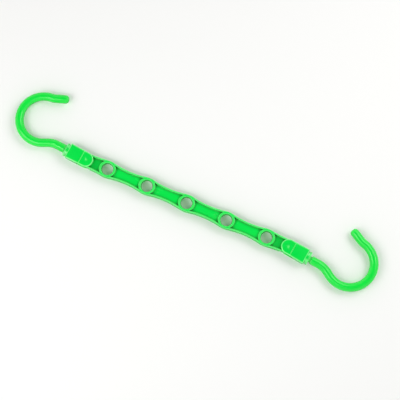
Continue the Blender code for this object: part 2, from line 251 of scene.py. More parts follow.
# %% Rule of the bar's half width
HALF_WIDTH_RULE = (
    ("last", "SUBTRACT", "Hole Count", 1), ("half_count", "DIVIDE", "last", 2),
    ("end_hole", "MULTIPLY", "half_count", "Hole Pitch"),
    ("steps", "DIVIDE", "Along", "Hole Pitch"), ("from_first", "ADD", "steps", "half_count"),
    ("rounded", "ROUND", "from_first", 0), ("not_below", "MAXIMUM", "rounded", 0),
    ("nearest", "MINIMUM", "not_below", "last"), ("from_middle", "SUBTRACT", "nearest", "half_count"),
    ("hole", "MULTIPLY", "from_middle", "Hole Pitch"), ("beside", "SUBTRACT", "Along", "hole"),
    ("off", "ABSOLUTE", "beside", 0), ("reach", "ABSOLUTE", "Along", 0),
    ("past_last", "GREATER_THAN", "reach", "end_hole"),
    ("half_pitch", "DIVIDE", "Hole Pitch", 2), ("more_span", "SUBTRACT", "Eye Distance", "half_pitch"),
    ("end_span", "MULTIPLY", "past_last", "more_span"), ("span", "ADD", "half_pitch", "end_span"),
    ("half_waist", "DIVIDE", "Waist Width", 2), ("more_waist", "SUBTRACT", "Eye Radius", "half_waist"),
    ("end_waist", "MULTIPLY", "past_last", "more_waist"), ("waist", "ADD", "half_waist", "end_waist"),
    ("drop", "SUBTRACT", "Ring Radius", "waist"), ("span_2", "MULTIPLY", "span", "span"),
    ("drop_2", "MULTIPLY", "drop", "drop"), ("both_2", "ADD", "span_2", "drop_2"),
    ("twice_drop", "MULTIPLY", "drop", 2), ("radii", "DIVIDE", "both_2", "twice_drop"),
    ("hollow", "SUBTRACT", "radii", "Crown Radius"),
    ("share", "DIVIDE", "Crown Radius", "radii"), ("meet", "MULTIPLY", "span", "share"),
    ("crown_2", "MULTIPLY", "Crown Radius", "Crown Radius"), ("off_2", "MULTIPLY", "off", "off"),
    ("crown_left", "SUBTRACT", "crown_2", "off_2"), ("crown_rise", "SQRT", "crown_left", 0),
    ("crown_foot", "SUBTRACT", "Ring Radius", "Crown Radius"), ("crown", "ADD", "crown_foot", "crown_rise"),
    ("to_waist", "SUBTRACT", "span", "off"), ("to_waist_2", "MULTIPLY", "to_waist", "to_waist"),
    ("hollow_2", "MULTIPLY", "hollow", "hollow"), ("hollow_left", "SUBTRACT", "hollow_2", "to_waist_2"),
    ("hollow_fall", "SQRT", "hollow_left", 0), ("hollow_top", "ADD", "waist", "hollow"),
    ("dip", "SUBTRACT", "hollow_top", "hollow_fall"), ("on_crown", "LESS_THAN", "off", "meet"),
    ("more", "SUBTRACT", "crown", "dip"), ("extra", "MULTIPLY", "on_crown", "more"),
    ("half_width", "ADD", "dip", "extra"),
)


def start_tree(name, inputs, output):
    """A new tree for shapes with its named inputs, and its input node."""
    tree = bpy.data.node_groups.new(name, "GeometryNodeTree")
    for label, (kind, value) in inputs.items():
        socket = tree.interface.new_socket(label, in_out="INPUT", socket_type="NodeSocket" + kind)
        if value is not None:
            socket.default_value = value
    tree.interface.new_socket(output[0], in_out="OUTPUT", socket_type="NodeSocket" + output[1])
    return tree, add(tree, "NodeGroupInput").outputs


def calculate(tree, rows, known):
    """Adds one Math node for each row of a rule, and returns all values by name."""
    values = dict(known)
    for name, operation, first, second in rows:
        values[name] = add(tree, "ShaderNodeMath", {
            0: values.get(first, first), 1: values.get(second, second),
        }, operation=operation)
    return values


OUTLINE_SIZES = {
    "Hole Count": ("Int", 5), "Hole Pitch": ("Float", 41 * MM), "Ring Radius": ("Float", 8 * MM),
    "Waist Width": ("Float", 12.0 * MM), "Crown Radius": ("Float", 20 * MM),
    "Eye Distance": ("Float", 22.3 * MM), "Eye Radius": ("Float", 6.6 * MM),
}
outline_tree, sizes = start_tree("bar_half_width", {"Along": ("Float", 0.0)} | OUTLINE_SIZES,
                                 ("Half Width", "Float"))
values = calculate(outline_tree, HALF_WIDTH_RULE, {name: sizes[name] for name in sizes.keys() if name})
add(outline_tree, "NodeGroupOutput", {0: values["half_width"]})
print("half width rule", len(HALF_WIDTH_RULE), "nodes")

# %% [markdown]
# Rims, rings and eyes are one wall with the same section: upright on one side, a little thicker at its foot
# so that it leaves the mould, rounded along the top, and with a small hollow fillet where it stands on the
# web. The second tree draws that section from nine corners. Fillet Curve rounds each corner by its own
# radius, so sharp and hollow corners are made by the same node. The ninth corner is in the middle of the
# upright side. With a taper that side leans back from it to both faces, which is how a hole widens.

# %% Section of a rim or ring
WALL_SIZES = {
    "Wall": ("Float", 1.5 * MM), "Thickness": ("Float", 6.8 * MM), "Web": ("Float", 2.2 * MM),
    "Draft": ("Float", 0.25 * MM), "Edge": ("Float", 0.55 * MM), "Root": ("Float", 0.38 * MM),
    "Taper": ("Float", 0.0),
}
MIDDLE_SHARE = -0.4  # where the middle corner stands, as a share of the taper
FILLET_STEPS = 5
section_tree, sizes = start_tree("wall_section", WALL_SIZES, ("Section", "Geometry"))
section_rule = (
    ("half", "DIVIDE", "Thickness", 2), ("foot", "ADD", "Wall", "Draft"), ("web", "DIVIDE", "Web", 2),
    ("deep", "ADD", "foot", "Root"), ("sunk", "SUBTRACT", "web", HAIR),
    ("inner", "MULTIPLY", "Taper", MIDDLE_SHARE),
)
known = calculate(section_tree, section_rule, {name: sizes[name] for name in WALL_SIZES})
upper = (("Taper", "half"), ("Wall", "half"), ("foot", "web"), ("deep", "sunk"))
outer_count = 2 * len(upper)
corner_index = add(section_tree, "GeometryNodeInputIndex")
places = add(section_tree, "GeometryNodeIndexSwitch", {"Index": corner_index}, data_type="VECTOR")
radii = add(section_tree, "GeometryNodeIndexSwitch", {"Index": corner_index}, data_type="FLOAT")
for switch in (places, radii):
    while len(switch.index_switch_items) < outer_count + 1:
        switch.index_switch_items.new()
for i in range(outer_count):
    across, height = upper[min(i, outer_count - 1 - i)]
    rise = known[height]
    if i >= len(upper):
        rise = add(section_tree, "ShaderNodeMath", {0: rise, 1: -1.0}, operation="MULTIPLY")
    corner = add(section_tree, "ShaderNodeCombineXYZ", {"X": known[across], "Y": rise})
    section_tree.links.new(corner.outputs[0], places.inputs[i + 1])
    rounding = {"Taper": "Edge", "Wall": "Edge", "foot": "Root"}.get(across)
    if rounding:
        section_tree.links.new(sizes[rounding], radii.inputs[i + 1])
middle = add(section_tree, "ShaderNodeCombineXYZ", {"X": known["inner"]})
section_tree.links.new(middle.outputs[0], places.inputs[outer_count + 1])
dots = add(section_tree, "GeometryNodeMeshLine", {"Count": outer_count + 1, "Offset": (0, 0, MM)})
spread = add(section_tree, "GeometryNodeSetPosition", {"Geometry": dots, "Position": places})
drawn = add(section_tree, "GeometryNodeMeshToCurve", {"Mesh": spread})
closed = add(section_tree, "GeometryNodeSetSplineCyclic", {"Geometry": drawn, "Cyclic": True})
rounded = add(section_tree, "GeometryNodeFilletCurve", {
    "Curve": closed, "Count": FILLET_STEPS, "Radius": radii, "Limit Radius": True,
}, mode="POLY")
add(section_tree, "NodeGroupOutput", {0: rounded})
print("wall section", outer_count + 1, "corners")

# %% [markdown]
# The third tree puts the bar together. The section is swept along the upper outline, and the same sweep
# turned half round about X is the lower rim. Swept round a circle it is a ring, which is set on five points
# a pitch apart, and on two end points it is an eye. The rings widen a little towards both faces, so that
# they leave the mould. The web is a flat strip whose sides are moved out to the outline, with the holes cut
# from it. A fine ridge runs along both sides near the back edge, where the two halves of the mould met, and
# two shallow round marks in the channels are left by the pins that push the bar out. A Boolean joins
# everything to one closed skin.

# %% The ringed bar
BAR_SIZES = OUTLINE_SIZES | WALL_SIZES | {
    "Hole Diameter": ("Float", 10.8 * MM), "Ring Wall": ("Float", 2.6 * MM),
    "Hole Taper": ("Float", 0.6 * MM), "Eye Bore": ("Float", 2.5 * MM), "Eye Wall": ("Float", 4.1 * MM),
    "Line Radius": ("Float", 0.35 * MM), "Mark Diameter": ("Float", 3.2 * MM),
    "Mark Depth": ("Float", 0.12 * MM), "Mark Offset": ("Float", 11 * MM),
    "Place": ("Vector", (0, 0, 0)), "Plastic": ("Material", None),
}
for derived in ("Ring Radius", "Eye Radius", "Taper"):
    del BAR_SIZES[derived]
BAR_RULE = (
    ("hole_radius", "DIVIDE", "Hole Diameter", 2), ("Ring Radius", "ADD", "hole_radius", "Ring Wall"),
    ("Eye Radius", "ADD", "Eye Bore", "Eye Wall"),
    ("last", "SUBTRACT", "Hole Count", 1), ("half_count", "DIVIDE", "last", 2),
    ("end_hole", "MULTIPLY", "half_count", "Hole Pitch"), ("pin", "ADD", "end_hole", "Eye Distance"),
    ("first", "MULTIPLY", "end_hole", -1), ("far_pin", "MULTIPLY", "pin", -1),
    ("both_pins", "SUBTRACT", "pin", "far_pin"),
    ("half_ring", "DIVIDE", "Ring Wall", 2), ("ring_middle", "ADD", "hole_radius", "half_ring"),
    ("half_eye", "DIVIDE", "Eye Wall", 2), ("eye_middle", "ADD", "Eye Bore", "half_eye"),
    ("half_wall", "DIVIDE", "Wall", 2), ("half", "DIVIDE", "Thickness", 2),
    ("above_back", "ADD", "Edge", "Line Radius"), ("line_drop", "SUBTRACT", "half", "above_back"),
    ("mark_radius", "DIVIDE", "Mark Diameter", 2),
    ("mark_place", "SUBTRACT", "Hole Pitch", "Mark Offset"), ("far_mark", "MULTIPLY", "mark_place", -1),
    ("both_marks", "SUBTRACT", "mark_place", "far_mark"), ("mark_height", "SUBTRACT", "Web", "Mark Depth"),
)
OUTLINE_POINTS = 253
RING_STEPS = 96
EYE_STEPS = 72
MARK_STEPS = 40
BEAD_STEPS = 16
BEAD_START, BEAD_END = 0.03, 0.97  # as shares of the rim's length
BLANK_SCALE = 5  # the blank is the web's outline made thicker than the bar
bar_tree, sizes = start_tree("ringed_bar", BAR_SIZES, ("Bar", "Geometry"))
known = calculate(bar_tree, BAR_RULE, {name: sizes[name] for name in BAR_SIZES})


def section(wall, taper):
    """The wall section with this wall and taper, and the bar's other sizes."""
    others = {name: sizes[name] for name in ("Thickness", "Web", "Draft", "Edge", "Root")}
    return add(bar_tree, "GeometryNodeGroup", others | {"Wall": wall, "Taper": taper}, node_tree=section_tree)


def row_of(shape, start, step, count):
    """Copies of a shape on a row of points along X, made real."""
    first_point = add(bar_tree, "ShaderNodeCombineXYZ", {"X": start})
    next_point = add(bar_tree, "ShaderNodeCombineXYZ", {"X": step})
    points = add(bar_tree, "GeometryNodeMeshLine", {
        "Count": count, "Start Location": first_point, "Offset": next_point,
    })
    copies = add(bar_tree, "GeometryNodeInstanceOnPoints", {"Points": points, "Instance": shape})
    return add(bar_tree, "GeometryNodeRealizeInstances", {"Geometry": copies})


def swept_wall(path, wall, capped, taper=0.0):
    """The wall section swept along a level path, on its right side."""
    level = add(bar_tree, "GeometryNodeSetCurveNormal", {"Curve": path}, mode="Z_UP")
    return add(bar_tree, "GeometryNodeCurveToMesh", {
        "Curve": level, "Profile Curve": section(wall, taper), "Fill Caps": capped,
    })


def outline_at(along):
    """The bar's half width at a distance from its middle."""
    others = {name: known[name] for name in OUTLINE_SIZES}
    return add(bar_tree, "GeometryNodeGroup", others | {"Along": along}, node_tree=outline_tree)


left_end = add(bar_tree, "ShaderNodeCombineXYZ", {"X": known["far_pin"]})
right_end = add(bar_tree, "ShaderNodeCombineXYZ", {"X": known["pin"]})
middle_line = add(bar_tree, "GeometryNodeCurvePrimitiveLine", {"Start": left_end, "End": right_end})
fine_line = add(bar_tree, "GeometryNodeResampleCurve", {"Curve": middle_line, "Count": OUTLINE_POINTS})
position = add(bar_tree, "GeometryNodeInputPosition")
split = add(bar_tree, "ShaderNodeSeparateXYZ", {"Vector": position})
width = outline_at(split.outputs["X"])
outline = add(bar_tree, "GeometryNodeSetPosition", {
    "Geometry": fine_line, "Offset": add(bar_tree, "ShaderNodeCombineXYZ", {"Y": width}),
})
upper_rim = swept_wall(outline, sizes["Wall"], capped=True)
lower_rim = add(bar_tree, "GeometryNodeTransform", {"Geometry": upper_rim, "Rotation": (math.pi, 0, 0)})
bead_circle = add(bar_tree, "GeometryNodeCurvePrimitiveCircle", {
    "Resolution": BEAD_STEPS, "Radius": sizes["Line Radius"],
})
bead_section = add(bar_tree, "GeometryNodeTransform", {
    "Geometry": bead_circle, "Translation": add(bar_tree, "ShaderNodeCombineXYZ", {"Y": known["line_drop"]}),
})
bead_path = add(bar_tree, "GeometryNodeTrimCurve", {0: outline, 2: BEAD_START, 3: BEAD_END})
bead_level = add(bar_tree, "GeometryNodeSetCurveNormal", {"Curve": bead_path}, mode="Z_UP")
bead = add(bar_tree, "GeometryNodeCurveToMesh", {
    "Curve": bead_level, "Profile Curve": bead_section, "Fill Caps": True,
})
far_bead = add(bar_tree, "GeometryNodeFlipFaces", {
    "Mesh": add(bar_tree, "GeometryNodeTransform", {"Geometry": bead, "Scale": (1, -1, 1)}),
})
# The strip is one metre wide to each side of the middle, and is then scaled to the outline
strip_section = add(bar_tree, "GeometryNodeCurvePrimitiveQuadrilateral", {
    "Width": 2.0, "Height": sizes["Web"],
})
level_line = add(bar_tree, "GeometryNodeSetCurveNormal", {"Curve": fine_line}, mode="Z_UP")
strip = add(bar_tree, "GeometryNodeCurveToMesh", {
    "Curve": level_line, "Profile Curve": strip_section, "Fill Caps": True,
})
to_rim = add(bar_tree, "ShaderNodeMath", {0: width, 1: known["half_wall"]}, operation="SUBTRACT")
strip_scale = add(bar_tree, "ShaderNodeCombineXYZ", {"X": 1.0, "Y": to_rim, "Z": 1.0})
web_place = add(bar_tree, "ShaderNodeVectorMath", {0: position, 1: strip_scale}, operation="MULTIPLY")
full_web = add(bar_tree, "GeometryNodeSetPosition", {"Geometry": strip, "Position": web_place})
blank = add(bar_tree, "GeometryNodeTransform", {"Geometry": full_web, "Scale": (1, 1, BLANK_SCALE)})

ring_circle = add(bar_tree, "GeometryNodeCurvePrimitiveCircle", {
    "Resolution": RING_STEPS, "Radius": known["hole_radius"],
})
ring = swept_wall(ring_circle, sizes["Ring Wall"], capped=False, taper=sizes["Hole Taper"])
eye_circle = add(bar_tree, "GeometryNodeCurvePrimitiveCircle", {
    "Resolution": EYE_STEPS, "Radius": sizes["Eye Bore"],
})
eye = swept_wall(eye_circle, sizes["Eye Wall"], capped=False)
rooted = [
    row_of(ring, known["first"], sizes["Hole Pitch"], sizes["Hole Count"]),
    row_of(eye, known["far_pin"], known["both_pins"], 2),
]
trimmed = [
    add(bar_tree, "GeometryNodeMeshBoolean", {"Mesh": [walls, blank]}, operation="INTERSECT", solver="EXACT")
    for walls in rooted
]
eye_corners = add(bar_tree, "GeometryNodeCurvePrimitiveQuadrilateral", {
    "Width": sizes["Eye Wall"], "Height": sizes["Thickness"],
})
eye_section = add(bar_tree, "GeometryNodeFilletCurve", {
    "Curve": eye_corners, "Count": FILLET_STEPS, "Radius": sizes["Edge"],
}, mode="POLY")
eye_middle_circle = add(bar_tree, "GeometryNodeCurvePrimitiveCircle", {
    "Resolution": EYE_STEPS, "Radius": known["eye_middle"],
})
level_circle = add(bar_tree, "GeometryNodeSetCurveNormal", {"Curve": eye_middle_circle}, mode="Z_UP")
eyes = row_of(add(bar_tree, "GeometryNodeCurveToMesh", {"Curve": level_circle, "Profile Curve": eye_section}),
              known["far_pin"], known["both_pins"], 2)
hole_cutter = add(bar_tree, "GeometryNodeMeshCylinder", {
    "Vertices": RING_STEPS, "Radius": known["ring_middle"], "Depth": sizes["Thickness"],
})
eye_cutter = add(bar_tree, "GeometryNodeMeshCylinder", {
    "Vertices": EYE_STEPS, "Radius": known["eye_middle"], "Depth": sizes["Thickness"],
})
mark_cutter = add(bar_tree, "GeometryNodeMeshCylinder", {
    "Vertices": MARK_STEPS, "Radius": known["mark_radius"], "Depth": sizes["Web"],
})
raised_cutter = add(bar_tree, "GeometryNodeTransform", {
    "Geometry": mark_cutter,
    "Translation": add(bar_tree, "ShaderNodeCombineXYZ", {"Z": known["mark_height"]}),
})
web = add(bar_tree, "GeometryNodeMeshBoolean", {
    "Mesh 1": full_web,
    "Mesh 2": [
        row_of(hole_cutter, known["first"], sizes["Hole Pitch"], sizes["Hole Count"]),
        row_of(eye_cutter, known["far_pin"], known["both_pins"], 2),
        row_of(raised_cutter, known["far_mark"], known["both_marks"], 2),
    ],
}, operation="DIFFERENCE", solver="EXACT")
bar_body = add(bar_tree, "GeometryNodeMeshBoolean", {
    "Mesh": [web, upper_rim, lower_rim, bead, far_bead, *trimmed, eyes],
}, operation="UNION", solver="EXACT")
placed = add(bar_tree, "GeometryNodeTransform", {"Geometry": bar_body, "Translation": sizes["Place"]})
real = add(bar_tree, "GeometryNodeRealizeInstances", {"Geometry": placed})
add(bar_tree, "NodeGroupOutput", {
    0: add(bar_tree, "GeometryNodeSetMaterial", {"Geometry": real, "Material": sizes["Plastic"]}),
})


def grown(name, start, tree, values, place=Matrix()):
    """A plain mesh piece that a tree makes from a starting object's data, moved to its place."""
    item = bpy.data.objects.new(name + "_start", start)
    bpy.context.collection.objects.link(item)
    modifier = item.modifiers.new("tree", "NODES")
    modifier.node_group = tree
    for socket in tree.interface.items_tree:
        if socket.in_out == "INPUT" and socket.name in values:
            modifier[socket.identifier] = values[socket.name]
    evaluated = item.evaluated_get(bpy.context.evaluated_depsgraph_get())
    mesh = bpy.data.meshes.new_from_object(evaluated)
    bpy.data.objects.remove(item)
    mesh.transform(place)
    return finished_piece(name, mesh)


def finished_piece(name, mesh, smooth_angle=35):
    """An object at the origin with this mesh, smooth but for its real edges."""
    mesh.name = name
    mesh.shade_smooth()
    mesh.set_sharp_from_angle(angle=math.radians(smooth_angle))
    item = bpy.data.objects.new(name, mesh)
    bpy.context.collection.objects.link(item)
    triangles = sum(len(face.vertices) - 2 for face in mesh.polygons)
    print(name, len(mesh.vertices), "vertices", triangles, "triangles")
    return item


bar = grown("ringed_bar", bpy.data.meshes.new("bar_start"), bar_tree, {
    "Place": bar_centre, "Plastic": bar_polypropylene,
})
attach(bar, "bar")
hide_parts("five_hole_bar")

# %% [markdown]
# ## Forms for the knuckles
#
# A knuckle is two half shells. Each has a cheek that lies over the bar's eye, half of the fold pin, and
# half of a round collar for the hook. Such a shape has flat sides, rounded edges and round bores, so it is
# drawn as mould makers do: outlines stacked to a solid, stations turned about an axis, and Booleans that
# add or cut. These few helpers work on plain meshes, and the exact solver keeps every result closed.

# %% Helpers for turned and stacked forms
def arc(centre, radius, start, end, steps):
    """Points on an arc in the XY plane, both ends included."""
    angles = [start + (end - start) * i / steps for i in range(steps + 1)]
    return [(centre[0] + radius * math.cos(a), centre[1] + radius * math.sin(a)) for a in angles]


def skinned(rings):
    """A closed mesh through rings of points, with faces that point out."""
    shape = bmesh.new()
    loops = [[shape.verts.new(point) for point in ring] for ring in rings]
    for lower, upper in zip(loops, loops[1:]):
        for i in range(len(lower)):
            j = (i + 1) % len(lower)
            shape.faces.new((lower[i], lower[j], upper[j], upper[i]))
    shape.faces.new(reversed(loops[0]))
    shape.faces.new(loops[-1])
    bmesh.ops.recalc_face_normals(shape, faces=shape.faces)
    mesh = bpy.data.meshes.new("form")
    shape.to_mesh(mesh)
    shape.free()
    return mesh


def stacked(levels, outline):
    """A solid through outline(inset) at each (height, inset)."""
    return skinned([[(x, y, height) for x, y in outline(inset)] for height, inset in levels])


def turned_on_x(stations, steps):
    """A solid turned about X, from (position, radius) pairs."""
    turns = [math.tau * i / steps for i in range(steps)]
    return skinned([
        [(x, radius * math.cos(turn), radius * math.sin(turn)) for turn in turns] for x, radius in stations
    ])


def post(x, stations, steps):
    """An upright round post at x, from (height, radius) pairs."""
    return stacked(stations, lambda radius: arc((x, 0), radius, 0, math.tau, steps)[:-1])


def block(start, end):
    """A plain block between two corners."""
    corners = [(start[0], start[1]), (end[0], start[1]), (end[0], end[1]), (start[0], end[1])]
    return stacked([(start[2], 0.0), (end[2], 0.0)], lambda inset: corners)


def combined(base, operation, *tools):
    """The mesh that exact Booleans make of a mesh and its tools, one after another."""
    for tool in tools:
        pair = [bpy.data.objects.new("work", mesh) for mesh in (base, tool)]
        for item in pair:
            bpy.context.collection.objects.link(item)
        modifier = pair[0].modifiers.new("boolean", "BOOLEAN")
        modifier.operation = operation
        modifier.object = pair[1]
        modifier.solver = "EXACT"
        evaluated = pair[0].evaluated_get(bpy.context.evaluated_depsgraph_get())
        base = bpy.data.meshes.new_from_object(evaluated)
        for item in pair:
            bpy.data.objects.remove(item)
    return base


print("helpers ready")

# %% [markdown]
# ## The knuckle shells
#
# Seen from the front a knuckle is a round pad over the fold pin that runs on into a block with a square
# outer end. The block stands a little lower than the pad, and a fine bead between them draws the thin
# bright line across each knuckle. A groove and a raised lip make the collar. The seam between the shells is
# a real gap with softened edges, and a small dimple over the pin is where the plastic sank as it cooled.

# %% Sizes of the knuckle
SEAM = 0.2 * MM
PLAY = 0.3 * MM
PIN_RADIUS = 2.2 * MM
SLOT_HALF = 3.7 * MM
PAD_HALF = 5.2 * MM
PAD_STEP = 0.3 * MM
PAD_LINE = (4.4 * MM, 4.6 * MM, 5.1 * MM, 5.3 * MM)
PAD_DROP = 0.15 * MM
ROUND_END = 7.1 * MM
SLOT_END = 7.4 * MM
BLOCK_END = 19.3 * MM
BLOCK_HALF_WIDTH = 7.45 * MM
CORNER = 0.6 * MM
KNUCKLE_EDGE = 1.3 * MM
SEAM_EDGE = 0.15 * MM
COLLAR_END = 22.5 * MM
COLLAR_RADIUS = 6.7 * MM
COLLAR_LIP = 1.3 * MM
COLLAR_GROOVE = 0.4 * MM
COLLAR_ROOT = 1.0 * MM
POCKET = (12.2 * MM, 17.3 * MM)
HEAD_RADIUS = 3.7 * MM
NECK_RADIUS = 3.0 * MM
PEG_PLACE = 9.8 * MM
PEG_RADIUS = 0.9 * MM
PEG_LENGTH = 2.2 * MM
PIN_ROOT = 0.3 * MM
PEG_ROOT = 0.5 * MM
SOCKET_START = -1.0 * MM
CHAMFER = 0.2 * MM
COLLAR_MOUTH = 0.3 * MM
COLLAR_EDGE = 0.4 * MM
DIMPLE_RADIUS = 0.55 * MM
DIMPLE_DEPTH = 0.15 * MM
DIMPLE_STEPS = 6  # from its bottom to its rim, and two more above it
BEYOND = 30 * MM  # further out than any face of a knuckle


def rounded_edge(face, edge, steps):
    """(height, inset) pairs of a rounded edge that ends in a level face."""
    rise = [math.pi / 2 * i / steps for i in range(steps + 1)]
    return [(face - edge + edge * math.sin(a), edge * (1 - math.cos(a))) for a in rise]


def knuckle_outline(inset):
    """The knuckle from the front: round about the pin, then flaring to a square outer end."""
    flare = math.asin((BLOCK_HALF_WIDTH - ROUND_END) / BLOCK_END)
    end = BLOCK_END - inset - CORNER
    side = BLOCK_HALF_WIDTH - inset - CORNER
    return (
        arc((0, 0), ROUND_END - inset, math.pi / 2 + flare, math.pi * 3 / 2 - flare, steps=48)
        + arc((end, -side), CORNER, -math.pi / 2, 0, steps=6)
        + arc((end, side), CORNER, 0, math.pi / 2, steps=6)
    )


def half_collar():
    """The collar above the seam, pressed a little oval so that it is no thicker than the block."""
    lip = COLLAR_END - COLLAR_LIP
    groove = COLLAR_RADIUS - COLLAR_GROOVE
    rounding = rounded_edge(COLLAR_EDGE, COLLAR_EDGE, steps=4)
    stations = [(BLOCK_END - COLLAR_ROOT, groove), (lip, groove)]
    stations += [(lip + COLLAR_EDGE - height, COLLAR_RADIUS - inset) for height, inset in rounding[::-1]]
    stations += [(COLLAR_END - COLLAR_EDGE + height, COLLAR_RADIUS - inset) for height, inset in rounding]
    collar = turned_on_x(stations, steps=96)
    collar.transform(Matrix.Scale((PAD_HALF - PAD_STEP) / COLLAR_RADIUS, 4, (0, 0, 1)))
    return combined(collar, "INTERSECT", block((0, -BEYOND, SEAM / 2), (BEYOND, BEYOND, BEYOND)))


def half_knuckle():
    """One shell above the seam, still without its half of the pin."""
    seam_rounding = rounded_edge(SEAM_EDGE, SEAM_EDGE, steps=2)
    levels = [(SEAM / 2 + SEAM_EDGE - height, inset) for height, inset in seam_rounding[::-1]]
    levels += rounded_edge(PAD_HALF, KNUCKLE_EDGE, steps=6)
    body = stacked(levels, knuckle_outline)
    shape = bmesh.new()
    shape.from_mesh(body)
    for place in PAD_LINE:
        everything = shape.verts[:] + shape.edges[:] + shape.faces[:]
        bmesh.ops.bisect_plane(shape, geom=everything, plane_co=(place, 0, 0), plane_no=(1, 0, 0))
    for vert in shape.verts:
        if vert.co.z > SLOT_HALF:
            past = sum(vert.co.x > place - HAIR for place in PAD_LINE)
            vert.co.z -= (PAD_DROP, PAD_DROP, 0.0, 0.0, PAD_STEP)[past]
    shape.to_mesh(body)
    shape.free()
    bore = NECK_RADIUS + PLAY
    swivel = turned_on_x([
        (POCKET[0], HEAD_RADIUS + PLAY), (POCKET[1], HEAD_RADIUS + PLAY), (POCKET[1], bore),
        (COLLAR_END - COLLAR_MOUTH, bore), (COLLAR_END + CHAMFER, bore + COLLAR_MOUTH + CHAMFER),
    ], steps=72)
    slot = block((-BEYOND, -BEYOND, -BEYOND), (SLOT_END, BEYOND, SLOT_HALF))
    ball = DIMPLE_RADIUS**2 / (2 * DIMPLE_DEPTH) + DIMPLE_DEPTH / 2
    slopes = [math.asin(DIMPLE_RADIUS / ball) * i / DIMPLE_STEPS for i in range(1, DIMPLE_STEPS + 3)]
    bottom = PAD_HALF - PAD_DROP - DIMPLE_DEPTH
    dimple = post(0, [(bottom + ball * (1 - math.cos(a)), ball * math.sin(a)) for a in slopes], steps=48)
    return combined(combined(body, "UNION", half_collar()), "DIFFERENCE", slot, swivel, dimple)


def front_shell(half):
    """The front shell, whose pin and block take the back shell's pegs."""
    pin = post(0, [
        (SEAM / 2, PIN_RADIUS - CHAMFER), (SEAM / 2 + CHAMFER, PIN_RADIUS),
        (SLOT_HALF + PIN_ROOT, PIN_RADIUS),
    ], steps=64)
    socket_radius = PEG_RADIUS + PLAY
    socket = [(SOCKET_START, socket_radius), (PEG_LENGTH + PLAY, socket_radius)]
    sockets = [post(x, socket, steps=32) for x in (0, PEG_PLACE)]
    return combined(combined(half, "UNION", pin), "DIFFERENCE", *sockets)


def back_shell(half):
    """The back shell: half of the pin, and the pegs that hold the shells together."""
    mirrored = half.copy()
    mirrored.transform(Matrix.Scale(-1, 4, (0, 0, 1)))
    mirrored.flip_normals()
    pin = post(0, [
        (-SLOT_HALF - PIN_ROOT, PIN_RADIUS),
        (-SEAM / 2 - CHAMFER, PIN_RADIUS), (-SEAM / 2, PIN_RADIUS - CHAMFER),
    ], steps=64)
    peg = [
        (-SEAM / 2 - PEG_ROOT, PEG_RADIUS),
        (PEG_LENGTH - CHAMFER, PEG_RADIUS), (PEG_LENGTH, PEG_RADIUS - CHAMFER),
    ]
    pegs = [post(x, peg, steps=32) for x in (0, PEG_PLACE)]
    return combined(mirrored, "UNION", pin, *pegs)


# %% [markdown]
# The same two mouldings serve both ends. Each end's frame starts at its fold pin, turned by the few degrees
# at which that knuckle lies in the photograph, and every piece of that end is drawn from there.

# %% Ends of the hanger and their shells
PIN_DISTANCE = 104.3 * MM  # two hole pitches and an eye distance
SHOULDER = 22.8 * MM
LEFT_FOLD = math.radians(4.6)
RIGHT_FOLD = math.radians(6.2)
ENDS = {
    "left": {"pin": -PIN_DISTANCE, "fold": math.pi - LEFT_FOLD, "swivel": math.pi, "pulled_out": 0.0},
    "right": {"pin": PIN_DISTANCE, "fold": -RIGHT_FOLD, "swivel": 0.0, "pulled_out": 1.5 * MM},
}
half = half_knuckle()
shells = {"front": front_shell(half), "back": back_shell(half)}
for side, end in ENDS.items():
    end["frame"] = (
        Matrix.Translation(bar_centre + Vector((end["pin"], 0, 0))) @ Matrix.Rotation(end["fold"], 4, "Z")
    )
    for half_name, mesh in shells.items():
        placed_mesh = mesh.copy()
        placed_mesh.transform(end["frame"])
        placed_mesh.materials.clear()
        placed_mesh.materials.append(knuckle_polypropylene)
        shell = finished_piece(f"{side}_{half_name}_shell", placed_mesh)
        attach(shell, f"{side}_knuckle")
        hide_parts(f"{side}_knuckle_{half_name}")

# %% [markdown]
# ## The hooks
#
# A hook is one round rod: a turning head inside the knuckle, a thinner neck, a shoulder, a shank that bends
# away, a long arc and a straight end with a blunt tip. That is a path with a radius at every point, so a
# curve holds it, walked like a turtle from the shoulder with lengths and turns. A tree sweeps a circle
# along the path. The two halves of the mould meet along the middle of the rod and leave a fine raised line
# on both sides.

# %% Path of a hook
ROD_RADIUS = 4.1 * MM
NECK_LENGTH = 7.3 * MM
HEAD_LENGTH = 3.0 * MM
HEAD_EDGE = 0.3 * MM
SHOULDER_EDGE = 1.0 * MM
TIP_EDGE = 3.4 * MM
HOOK_RUNS = (  # length of a straight run, or 0, then the turn and the radius of a bend
    (8.6 * MM, 0, 0), (0, -28.4, 20 * MM), (4.8 * MM, 0, 0), (0, 200.4, 22.8 * MM), (0, -15.5, 13 * MM),
    (13.4 * MM - TIP_EDGE, 0, 0),
)
TURN_STEP = 3.0  # degrees from one point of a bend to the next


